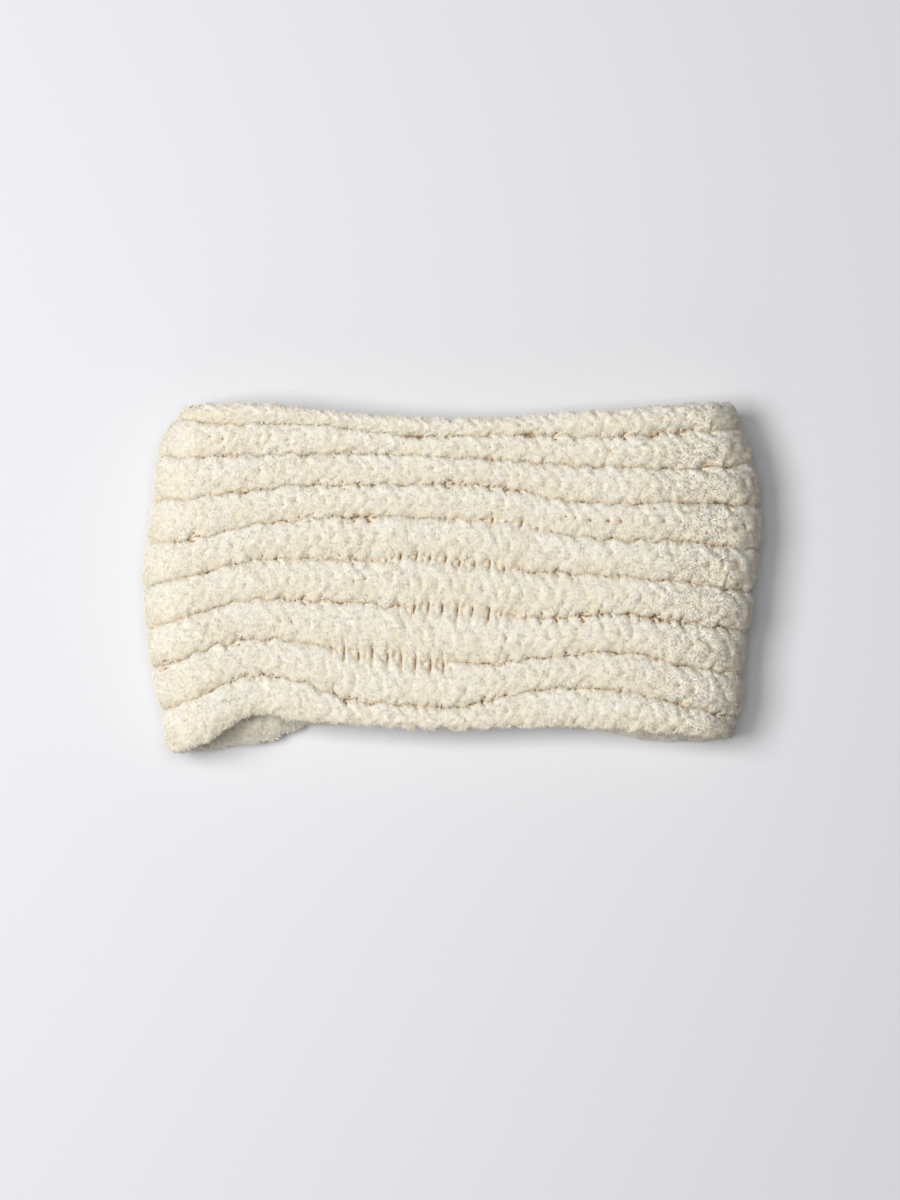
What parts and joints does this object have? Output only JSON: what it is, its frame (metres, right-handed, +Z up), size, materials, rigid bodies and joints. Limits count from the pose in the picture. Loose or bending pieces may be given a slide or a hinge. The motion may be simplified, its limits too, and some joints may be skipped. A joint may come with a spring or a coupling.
{
  "type": "ear warmer headband",
  "caption": "Chunky rib-knit chenille ear warmer headband, a closed band lying flat in two layers with an open hollow for the head.",
  "frame": {"origin": "on the surface that the band lies on, under the middle of its outline", "axes": "+X from the left fold to the right fold, +Y across the ribs towards the rear edge, +Z up from the back layer to the top layer"},
  "size_m": [0.2398, 0.1352, 0.032],
  "materials": {
    "chenille_yarn": "soft matte chenille pile, cream"
  },
  "bodies": {
    "root": {"knit_band": "chenille_yarn"}
  },
  "joints": []
}
